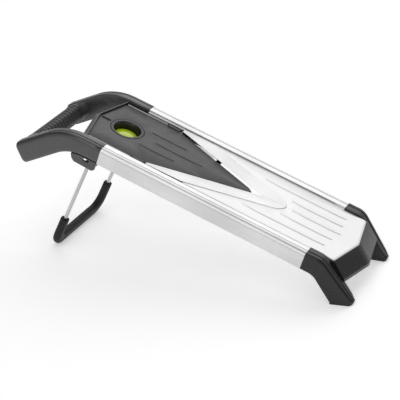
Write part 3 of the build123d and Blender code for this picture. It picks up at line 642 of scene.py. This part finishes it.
def make_strips():
    """Narrow strips that stand on the ledges, beside the insert's long sides."""
    inner, outer = STRIP_X
    for side, word in ((-1, "left"), (1, "right")):
        bm = bmesh.new()
        side_run(bm, side, [
            (inner, LEDGE_TOP - 0.2), (outer, LEDGE_TOP - 0.2), (outer, STRIP_TOP),
            (inner, STRIP_TOP),
        ], [0, 0, 0.4, 0.4], *STRIP_Y)
        # the strips wear the darker copy of the satin aluminium: painted shade
        add_piece("ledge_strip_" + word, bm, "board", "satin_aluminium", [], 30.0, "aluminium_painted_darker")


# --- insert ----------------------------------------------------------------------------


def bite(start, end, centre, radius, steps=8):
    """Points of a round bite in the straight edge between two places."""
    first = Vector(start)
    middle = Vector(centre)
    run = (Vector(end) - first).normalized()
    foot = first + run * (middle - first).dot(run)
    half = math.sqrt(radius**2 - (foot - middle).length_squared)
    enter = foot - run * half - middle
    leave = foot + run * half - middle
    angle = math.atan2(enter.y, enter.x)
    turn = (math.atan2(leave.y, leave.x) - angle + math.pi) % (2 * math.pi) - math.pi
    return arc(middle, radius, angle, angle + turn, steps)


def insert_outline():
    """Plan outline of the insert, with the notches in its slanting edges."""
    side = soften([
        (0, INSERT_REAR_TIP), (INSERT_HALF, INSERT_REAR_SIDE), (INSERT_HALF, INSERT_CORNER_Y),
        SHOULDER, POINT_SIDE,
    ], [0, 1.0, 0.8, 1.5, 0], 5, closed=False)
    nose = soften([SHOULDER, POINT_SIDE, (0, POINT_TIP - 0.4)], [0, 4.0, 0], 5, closed=False)
    notched = side[:-1] + bite(SHOULDER, POINT_SIDE, *NOTCH) + nose[1:-1]
    return mirrored(notched + [(0, POINT_TIP)])


def circle(centre, radius, steps=64):
    return [
        (centre[0] + radius * math.cos(2 * math.pi * k / steps),
         centre[1] + radius * math.sin(2 * math.pi * k / steps)) for k in range(steps)
    ]


def thumb_outline(grow=0.0):
    """Outline of the round-ended thumb recess, grown outwards by the same width all round."""
    reach = THUMB_LENGTH / 2 - THUMB_HALF
    upper = arc((0, THUMB_Y + reach), THUMB_HALF + grow, 0, math.pi, 12)
    lower = arc((0, THUMB_Y - reach), THUMB_HALF + grow, math.pi, 2 * math.pi, 12)
    return upper + lower


def make_insert():
    """Pointed plate with rounded edges, raised ribs, button hole, thumb recess and runners."""
    bm = bmesh.new()
    outline = insert_outline()
    top = INSERT_TOP
    loops = [with_height(shrunk(outline, d), top - f) for d, f in ((0.15, 0.17), (0.42, 0.0))]
    hole = circle((0, BUTTON_Y), BUTTON_HOLE)
    slot = thumb_outline()
    loops += [
        with_height(circle((0, BUTTON_Y), BUTTON_HOLE + 0.18), top - 0.1),
        with_height(circle((0, BUTTON_Y), BUTTON_HOLE + 0.5), top),
        with_height(thumb_outline(0.3), top),
    ]
    loops += mirrored_ribs(INSERT_RIBS, top, height=0.8, lower_taper=16.0, upper_taper=16.0)
    rim = with_height(outline, top - INSERT_EDGE)
    holes = [with_height(hole, top - 0.3), with_height(slot, top - 0.3)]
    sheet(bm, rim, holes, loops, INSERT_THICK - INSERT_EDGE)
    recess_floor = thumb_outline(0.65)
    loft(bm, [with_height(recess_floor, top - drop) for drop in (THUMB_DEPTH, INSERT_THICK)])
    inner, outer = RUNNER_X
    for side in SIDES:
        side_run(bm, side, [
            (inner, RUNNER_TOP), (outer, RUNNER_TOP), (outer, RUNNER_LOW), (inner, RUNNER_LOW),
        ], [0, 0, 0.3, 0.3], *RUNNER_Y, 2)
    return add_piece("insert_plate", bm, "insert", "grey_insert", ["slicing_insert"], 40.0)


# --- release button --------------------------------------------------------------------


def make_bezel():
    """Glossy round well with a rolled lip and a chamfer inside it."""
    bm = bmesh.new()
    profile = soften([
        (BEZEL_BORE, BEZEL_LOW), (BEZEL_BORE, BEZEL_TOP - 2.6), (15.2, BEZEL_TOP),
        (BEZEL_RADIUS - 0.15, BEZEL_TOP), (BEZEL_RADIUS, BEZEL_TOP - 0.4), (BEZEL_RADIUS, BEZEL_LOW),
    ], [0, 2.0, 1.1, 0.15, 0.15, 0], 6)
    lathe(bm, profile)
    return add_piece("bezel_ring", bm, "board", "black_plastic", ["button_bezel"], 40.0)


def make_button():
    """Domed lime cap with a rounded rim, on a skirt with a stop flange."""
    bm = bmesh.new()
    rim = BUTTON_RIM
    ball = (DOME_RADIUS**2 + DOME_HEIGHT**2) / (2 * DOME_HEIGHT)
    ball_centre = rim + 0.3 + DOME_HEIGHT - ball
    radii = [DOME_RADIUS * t for t in (0.001, 0.15, 0.3, 0.45, 0.6, 0.75, 0.88, 0.96)]
    top = [(radius, ball_centre + math.sqrt(ball**2 - radius**2)) for radius in radii]
    side = soften([
        top[-1], (CAP_RADIUS - 0.6, rim + 0.25), (CAP_RADIUS, rim - 0.5),
        (CAP_RADIUS, rim - STOP_DEPTH), (STOP_RADIUS, rim - STOP_DEPTH),
        (STOP_RADIUS, rim - SKIRT_LENGTH), (SKIRT_BORE, rim - SKIRT_LENGTH),
        (SKIRT_BORE, rim - 2.6), (9.5, rim - 1.0), (0.01, rim + 0.4),
    ], [0, 0.3, 0.5, 0.2, 0.3, 0.3, 0.2, 0.6, 0.6, 0], 4, closed=False)
    lathe(bm, top[:-1] + side)
    return add_piece("button_cap", bm, "button", "lime_plastic", ["release_button"], 40.0)


# --- handle ----------------------------------------------------------------------------


def slope():
    """Directions down the arms' slope and out of its upper face, as (Y, Z) pairs."""
    return (Vector((math.cos(BEND_ANGLE), -math.sin(BEND_ANGLE))),
            Vector((math.sin(BEND_ANGLE), math.cos(BEND_ANGLE))))


def bend_end(level, start, radius):
    """Where a line at the given level ends its bend."""
    return Vector((start, level - radius)) + slope()[1] * radius


def edge_point(level, bend, stage):
    """A point on an arm's upper or under line; stage is 0 to 1 level, to 2 bent, to 3 sloping."""
    start, radius = bend
    if stage <= 1:
        return Vector((between(RAIL_REAR, start, stage), level))
    if stage <= 2:
        angle = (stage - 1) * BEND_ANGLE
        return Vector((start + radius * math.sin(angle), level - radius + radius * math.cos(angle)))
    along = slope()[0]
    tip = bend_end(ARM_TOP, *TOP_BEND) + along * ARM_RUN
    turned = bend_end(level, start, radius)
    return turned + along * (tip - turned).dot(along) * (stage - 2)


ARM_DEPTH = 20.0            # drawn depth of an arm's section, fitted between its two lines
ARM_CORNERS = [
    (50.6, 0.0), *GROOVE, (ARM_OUTER, 0.0), (ARM_OUTER, ARM_DEPTH), (ARM_INNER + 0.2, ARM_DEPTH),
]
ARM_RADII = [1.3, 0.15, 0.12, 0.12, 0.15, 5.0, 4.6, 1.6]
TIP_ROUND = 4.0


def arm_section(stage, inset, side):
    """One cross-section of an arm, as board points."""
    top = edge_point(ARM_TOP, TOP_BEND, stage)
    under = edge_point(ARM_UNDER, UNDER_BEND, stage)
    middle = ((ARM_INNER + ARM_OUTER) / 2, ARM_DEPTH / 2)
    squeeze = (1 - inset / 8.4, 1 - inset / 10.5)
    made = []
    for x, depth in soften(ARM_CORNERS, ARM_RADII, 6):
        x = middle[0] + (x - middle[0]) * squeeze[0]
        depth = middle[1] + (depth - middle[1]) * squeeze[1]
        spot = top.lerp(under, depth / ARM_DEPTH)
        made.append((side * x, spot.x, spot.y))
    return made


def arm_stations():
    """Stages along an arm with the inset of its section at each."""
    rows = [(0.0, 0.35), (0.02, 0.0), (0.5, 0.0)]
    rows += [(1 + k / 28, 0.0) for k in range(29)]
    last = 1 - TIP_ROUND / ARM_RUN
    rows += [(2 + last * k / 6, 0.0) for k in range(1, 7)]
    for k in range(1, 7):
        angle = math.pi / 2 * k / 6
        rows.append((3 - (1 - last) * (1 - math.sin(angle)), TIP_ROUND * (1 - math.cos(angle))))
    return rows


def grip_point(u, along, outward):
    """A board point by its place across, down the arms' slope and out from the grip's axis."""
    down, out = slope()
    axis = bend_end(ARM_TOP, *TOP_BEND) + down * GRIP_ALONG - out * GRIP_DEPTH
    spot = axis + down * along + out * outward
    return (u, spot.x, spot.y)


def grip_section(u, half_along, half_out, radius, centre=(0.0, 0.0), steps=8):
    """A rounded rectangle round the grip's axis."""
    corners = [(-half_along, -half_out), (half_along, -half_out), (half_along, half_out),
               (-half_along, half_out)]
    return [
        grip_point(u, a + centre[0], o + centre[1]) for a, o in soften(corners, radius, steps)
    ]


# Flare of a socket towards the grip: place across, half size along the slope, half size out
# of it, corner radius and shift along the slope.
SOCKET_ROWS = (
    (50.2, 13.6, 9.3, 5.0, -1.6), (48.6, 12.6, 9.4, 5.5, -1.3), (46.6, 11.2, 9.6, 6.0, -0.8),
    (44.6, 10.0, 9.8, 6.2, -0.3), (43.2, 9.5, 9.9, 6.3, 0.0), (42.2, 9.4, 9.9, 6.3, 0.0),
    (41.9, 9.1, 9.6, 6.0, 0.0),
)
TONGUE = [(52.8, -2.3), (62.8, -2.3), (62.8, -14.9), (52.8, -14.9)]
TONGUE_LENGTH = 24.0        # how far the arms' tongues reach into the rails


def make_handle_frame():
    """Two curved arms with a line along their tops, flaring into sockets for the grip."""
    bm = bmesh.new()
    for side in SIDES:
        loft(bm, [arm_section(stage, inset, side) for stage, inset in arm_stations()])
        loft(bm, [
            grip_section(side * u, along, out, radius, (shift, 0.0))
            for u, along, out, radius, shift in SOCKET_ROWS
        ])
        side_run(bm, side, TONGUE, 1.0, RAIL_REAR - TONGUE_LENGTH, RAIL_REAR + 2)
    # the arms wear the lighter copy of the black plastic: painted light
    return add_piece(
        "handle_arms", bm, "board", "black_plastic", ["handle_frame"], 42.0, "black_plastic_painted_lighter"
    )


GRIP_HALF = 44.0
GRIP_SIZE = (9.0, 9.5)      # half its section along the arms' slope and out of it
GRIP_ROUND = 6.0
GRIP_STATIONS = 236
GRIP_PITCH = 6.0
GRIP_LAST_GROOVE = 36.0
GRIP_GROOVE_DEPTH = 0.85


def grip_inset(u):
    """How far the grip's surface lies below its crown, from grooves and end collars."""
    if abs(u) > GRIP_LAST_GROOVE + 3:
        return 0.25
    from_groove = abs((u / GRIP_PITCH + 0.5) % 1.0 - 0.5) * GRIP_PITCH
    groove = math.exp(-((from_groove / 0.62) ** 2))
    crown = 0.12 * (1 - from_groove / (GRIP_PITCH / 2))
    return GRIP_GROOVE_DEPTH * groove + crown * (1 - groove)


def make_grip():
    """Rubber sleeve with round ribs and a smooth collar at each end."""
    bm = bmesh.new()
    sections = []
    for k in range(GRIP_STATIONS + 1):
        u = between(-GRIP_HALF, GRIP_HALF, k / GRIP_STATIONS)
        inset = grip_inset(u)
        along, out = (half - inset for half in GRIP_SIZE)
        sections.append(grip_section(u, along, out, GRIP_ROUND - 0.6 * inset, steps=7))
    loft(bm, sections)
    return add_piece(
        "grip_sleeve", bm, "board", "black_rubber", ["handle_grip"], 50.0, "grip_rubber"
    )


# --- chevron bars ----------------------------------------------------------------------


def chevron(bm, outline, half_width, slope, steps=8):
    """A bar of constant side outline that runs back from the centre line on both sides."""
    stations = [half_width * k / steps for k in range(-steps, steps + 1)]
    loft(bm, [[(x, y + abs(x) * slope, z) for y, z in outline] for x in stations])


def make_crossbar():
    """Chevron bar behind the insert: a narrow rim, then two falling bands."""
    bm = bmesh.new()
    rim = INSERT_REAR_TIP + 0.4
    profile = soften([
        (rim, -9.0), (rim, -0.05), (rim + 1.0, 0.35), (rim + 4.7, -3.3), (rim + 5.2, -5.0),
        (rim + 7.1, -11.0), (rim + 6.7, -13.5), (rim + 3.0, -13.5),
    ], [0, 0.4, 0.6, 0.8, 0.5, 1.0, 0.8, 0.5], 5)
    chevron(bm, profile, ARM_INNER - 0.1, -REAR_SLOPE)
    # the rear bar wears the lighter copy of the black plastic: painted light
    return add_piece(
        "rear_bar", bm, "board", "black_plastic", ["rear_crossbar"], 30.0, "black_plastic_painted_lighter"
    )


FOOT_TOP = [(RAIL_FRONT, 1.8), (-162.5, 2.0), (-206.5, -31.0)]
FOOT_UNDER = [(RAIL_FRONT, -18.0), (-159.5, -18.1), (-190.6, -47.9)]
FOOT_OUTER_X = ((-207.0, 55.0), (-205.6, 57.4), (-203.6, 59.0), (-199.0, 60.2), (-192.0, 61.2),
                (-176.0, 63.6), (-166.0, 64.9), (-158.0, 65.3), (RAIL_FRONT, 65.3))
FOOT_INNER_X = ((-207.0, 51.0), (-205.8, 48.4), (-204.4, 47.2), (-200.0, 46.5), (-188.0, 46.4),
                (-171.0, 48.5), (RAIL_FRONT, 48.5))
FRONT_BAR_HALF = 49.8       # the bar between the feet ends inside them
FOOT_WIDTH = 16.0           # drawn width of a foot's section, fitted between its two sides
FOOT_EDGE = 48.9            # place across where that drawn section starts
FLOOR_SLOPE = math.tan(TILT)
FLOOR_POINT = (-190.0, -40.3)
PAD_THICK = 1.8 / math.cos(TILT)
HEEL_Y = -184.6
TOE_Y = -206.2


def floor_height(y, above=0.0):
    """Height in the board frame of the standing surface, or of a level above it."""
    return FLOOR_POINT[1] - (y - FLOOR_POINT[0]) * FLOOR_SLOPE + above


def foot_pairs():
    """Matching points on the foot's upper and under lines, from rail to sole."""
    steps = 10
    upper = soften(FOOT_TOP, [0, 20.0, 0], steps, closed=False)
    under = soften(FOOT_UNDER, [0, 16.0, 0], steps, closed=False)
    pairs = list(zip(upper, under))
    last_upper = pairs.pop()[0]
    bend_upper, bend_under = pairs[-1]
    sole_back = (HEEL_Y, floor_height(HEEL_Y, PAD_THICK))
    for k in range(1, 8):
        t = k / 7
        top = tuple(between(a, b, t) for a, b in zip(bend_upper, last_upper))
        low = tuple(between(a, b, t) for a, b in zip(bend_under, sole_back))
        pairs.append((top, low))
    return pairs


def foot_section(top, low, side, shrink=0.0):
    """A rounded section of the foot between two side-view points."""
    height = math.dist(top, low)
    made = []
    corners = [
        (0.0, 0.0), *((x - FOOT_EDGE, depth) for x, depth in GROOVE), (FOOT_WIDTH, 0.0),
        (FOOT_WIDTH, height), (0.0, height),
    ]
    for across, down in soften(corners, [1.6, 0.15, 0.12, 0.12, 0.15, 3.2, 1.6, 1.4], 6):
        t = down / height
        y = between(top[0], low[0], t)
        z = between(top[1], low[1], t)
        x0 = along_table(FOOT_INNER_X, y) + shrink
        x1 = along_table(FOOT_OUTER_X, y) - shrink
        made.append((side * between(x0, x1, across / FOOT_WIDTH), y, z))
    return made


def sole_section(level, side, shrink=0.0):
    """The foot's outline on a plane parallel to the standing surface."""
    toe_y = TOE_Y + shrink
    heel_y = HEEL_Y - shrink
    toe = (toe_y, floor_height(toe_y, level))
    heel = (heel_y, floor_height(heel_y, level))
    return foot_section(toe, heel, side, shrink)


def make_front_frame():
    """Front moulding: two feet that cap the rails, joined by a pointed bar."""
    bm = bmesh.new()
    for side in SIDES:
        sections = [foot_section(top, low, side) for top, low in foot_pairs()]
        sections.append(sole_section(PAD_THICK + 2.0, side))
        sections.append(sole_section(PAD_THICK, side))
        loft(bm, sections)
    tip = PLATE_TIP
    profile = soften([
        (tip - 0.4, -0.4), (tip - 16.8, -14.4), (tip - 17.9, -17.5), (tip - 17.1, -19.0),
        (tip - 14.6, -18.3), (tip + 1.8, -4.9), (tip + 7.9, -4.9), (tip + 7.9, -1.3), (tip + 0.6, -1.3),
    ], [0.5, 0.5, 0.5, 0.5, 0.8, 1.0, 0.3, 0.3, 0.2], 4)
    chevron(bm, profile, FRONT_BAR_HALF, FRONT_SLOPE)
    return add_piece("front_moulding", bm, "board", "black_plastic", ["front_frame"], 34.0)


def make_foot_pads():
    """Rubber soles under the front feet."""
    for side, word in ((-1, "left"), (1, "right")):
        bm = bmesh.new()
        levels = ((PAD_THICK, 0.1), (PAD_THICK * 0.35, 0.0), (0.35, 0.15), (0.0, 0.5))
        loft(bm, [sole_section(level, side, shrink) for level, shrink in levels])
        add_piece("sole_" + word, bm, "board", "black_rubber", ["foot_pad_" + word], 40.0)


# --- folding leg -----------------------------------------------------------------------


def leg_point(u, down, front):
    """A board point by its place across, down the leg from the pivot and out of its plane."""
    y = PIVOT_BOARD.y + math.sin(LEG_LEAN) * down + math.cos(LEG_LEAN) * front
    z = PIVOT_BOARD.z - math.cos(LEG_LEAN) * down + math.sin(LEG_LEAN) * front
    return Vector((u, y, z))


def make_leg_wire():
    """Bent steel wire with round bends and chamfered stub ends."""
    bm = bmesh.new()
    route = soften([
        (STUB_END, 0.0), (LEG_HALF, 0.0), (LEG_HALF, LEG_LENGTH), (-LEG_HALF, LEG_LENGTH),
        (-LEG_HALF, 0.0), (-STUB_END, 0.0),
    ], [0, 3.5, 16.0, 16.0, 3.5, 0], 14, closed=False)
    route.insert(1, (STUB_END - 0.4, 0.0))
    route.insert(-1, (0.4 - STUB_END, 0.0))
    sections = []
    for index, here in enumerate(route):
        before = Vector(route[max(0, index - 1)])
        after = Vector(route[min(len(route) - 1, index + 1)])
        run = (after - before).normalized()
        across = Vector((-run.y, run.x))
        is_end = index in (0, len(route) - 1)
        radius = WIRE_RADIUS - (0.4 if is_end else 0.0)
        ring = []
        for k in range(20):
            angle = 2 * math.pi * k / 20
            spot = Vector(here) + across * radius * math.cos(angle)
            ring.append(leg_point(spot.x, spot.y, radius * math.sin(angle)))
        sections.append(ring)
    loft(bm, sections)
    return add_piece("leg_rod", bm, "leg", "leg_steel", ["leg_wire"], 50.0)


SLEEVE_HALF = 4.6
SLEEVE_POWER = 2.6          # shape of its section: 2 is round, more is squarer
SLEEVE_BASE = LEG_LENGTH + 6.4
SLEEVE_INNER_BASE = LEG_LENGTH - 6.2


def sleeve_pairs():
    """Matching outer and inner points of the sleeve, from one end to the other."""
    steps = 12
    outer_x = LEG_HALF + SLEEVE_HALF
    inner_x = LEG_HALF - SLEEVE_HALF
    rows = []
    for corners_x, base, radius in ((outer_x, SLEEVE_BASE, 17.0), (inner_x, SLEEVE_INNER_BASE, 11.0)):
        line = soften([
            (corners_x, SLEEVE_START), (corners_x, base), (-corners_x, base), (-corners_x, SLEEVE_START),
        ], [0, radius, radius, 0], steps, closed=False)
        extra = [(corners_x, SLEEVE_START + d) for d in (0.25, 0.8, 8.0)]
        line = line[:1] + extra + line[1:-1] + [(-x, y) for x, y in reversed(extra)] + line[-1:]
        rows.append(line)
    return list(zip(*rows))


def make_sleeve():
    """Rubber foot moulded over the wire, thicker along its base and flat where it stands."""
    bm = bmesh.new()
    pairs = sleeve_pairs()
    sections = []
    for index, (outer, inner) in enumerate(pairs):
        middle = (Vector(outer) + Vector(inner)) / 2
        reach = (Vector(outer) - Vector(inner)) / 2
        from_end = min(index, len(pairs) - 1 - index)
        tightness = (0.86, 0.95, 1.0)[min(2, from_end)]
        ring = []
        for k in range(28):
            angle = 2 * math.pi * k / 28
            c, s = math.cos(angle), math.sin(angle)
            size = abs(c) ** SLEEVE_POWER + abs(s) ** SLEEVE_POWER
            size = tightness * size ** (-1 / SLEEVE_POWER)
            spot = middle + reach * size * c
            ring.append(leg_point(spot.x, spot.y, SLEEVE_HALF * size * s))
        sections.append(ring)
    loft(bm, sections)
    for vertex in bm.verts:
        level = floor_height(vertex.co.y)
        vertex.co.z = max(vertex.co.z, level + 0.02)
    return add_piece("leg_sleeve", bm, "leg", "black_rubber", ["leg_foot_sleeve"], 40.0)


# --- stage -----------------------------------------------------------------------------


FLOOR_HALF = 6.0
FLOOR_GLOW = 0.41           # the floor's own light, which keeps its shadow faint


def make_floor():
    """A wide pale floor under the feet."""
    mesh = bpy.data.meshes.new("floor")
    half = FLOOR_HALF
    corners = [(-half, -half, 0), (half, -half, 0), (half, half, 0), (-half, half, 0)]
    mesh.from_pydata(corners, [], [(0, 1, 2, 3)])
    floor = bpy.data.objects.new("floor", mesh)
    bpy.context.scene.collection.objects.link(floor)
    made = Shader("pale_floor", Roughness=0.6)
    made.bsdf.inputs["Base Color"].default_value = (0.93, 0.93, 0.93, 1)
    made.bsdf.inputs["Emission Color"].default_value = (1, 1, 1, 1)
    made.bsdf.inputs["Emission Strength"].default_value = FLOOR_GLOW
    mesh.materials.append(made.material)


# Softboxes: name, place, size and power.
LIGHTS = (
    ("overhead", (1.0, 0.0, 1.35), (1.5, 1.7), 6.5),
    ("left_high", (-0.95, 0.0, 1.6), (0.8, 1.8), 5.0),
)
LIGHT_TARGET = (0.0, 0.0, 0.05)


def area_light(name, position, size, power):
    """A rectangular softbox aimed at the object."""
    data = bpy.data.lights.new(name, "AREA")
    data.shape = "RECTANGLE"
    data.size, data.size_y = size
    data.energy = power
    light = bpy.data.objects.new(name, data)
    bpy.context.scene.collection.objects.link(light)
    light.location = position
    direction = Vector(LIGHT_TARGET) - Vector(position)
    light.rotation_mode = "QUATERNION"
    light.rotation_quaternion = direction.to_track_quat("-Z", "Y")


SKY_BRIGHT = (0.94, 0.0, 0.34)    # direction of the brightest part of the surroundings
# Brightness by the share of the way from the opposite direction to that one.
SKY_RAMP = ((0.0, 0.85), (0.22, 0.75), (0.42, 0.26), (0.82, 0.24), (0.93, 0.72), (1.0, 0.90))


def make_sky():
    """Soft white surroundings, brightest at both ends of the ramp and dim between them."""
    world = bpy.data.worlds.new("studio")
    bpy.context.scene.world = world
    world.use_nodes = True
    tree = world.node_tree
    ground = tree.nodes["Background"]
    coordinates = tree.nodes.new("ShaderNodeTexCoord")
    towards = tree.nodes.new("ShaderNodeVectorMath")
    towards.operation = "DOT_PRODUCT"
    towards.inputs[1].default_value = SKY_BRIGHT
    tree.links.new(coordinates.outputs["Generated"], towards.inputs[0])
    share = tree.nodes.new("ShaderNodeMapRange")
    share.inputs["From Min"].default_value = -1.0
    tree.links.new(towards.outputs["Value"], share.inputs["Value"])
    ramp = tree.nodes.new("ShaderNodeValToRGB")
    stops = ramp.color_ramp.elements
    for index, (place_on, level) in enumerate(SKY_RAMP):
        stop = stops[index] if index < 2 else stops.new(place_on)
        stop.position = place_on
        stop.color = (level, level, level * 1.005, 1)
    tree.links.new(share.outputs["Result"], ramp.inputs[0])
    tree.links.new(ramp.outputs[0], ground.inputs["Color"])
    ground.inputs["Strength"].default_value = 1.0


# The camera's place in mm and its directions, all in the board's frame.
CAMERA_PLACE = (-1472.3, -414.3, 913.75)
CAMERA_FORWARD = (0.81707, 0.2279, -0.52958)
CAMERA_UP = (0.39758, 0.44248, 0.80383)
CAMERA_LENS = 151.5


def make_camera():
    """The side-and-above view, set in the board's own frame."""
    data = bpy.data.cameras.new("camera")
    data.lens = CAMERA_LENS
    data.clip_start, data.clip_end = 0.05, 50.0
    camera = bpy.data.objects.new("camera", data)
    bpy.context.scene.collection.objects.link(camera)
    forward = (TURN.to_3x3() @ Vector(CAMERA_FORWARD)).normalized()
    up = TURN.to_3x3() @ Vector(CAMERA_UP)
    right = forward.cross(up).normalized()
    up = right.cross(forward)
    basis = Matrix((right, up, -forward)).transposed()
    camera.matrix_world = Matrix.Translation(place(CAMERA_PLACE)) @ basis.to_4x4()
    bpy.context.scene.camera = camera


dress_cad_nodes()
make_camera()
make_lower_plate()
make_rails()
make_strips()
make_insert()
make_bezel()
make_button()
make_handle_frame()
make_grip()
make_crossbar()
make_front_frame()
make_foot_pads()
make_leg_wire()
make_sleeve()
make_floor()
make_sky()
for light in LIGHTS:
    area_light(*light)
bpy.context.scene.view_settings.view_transform = "Standard"
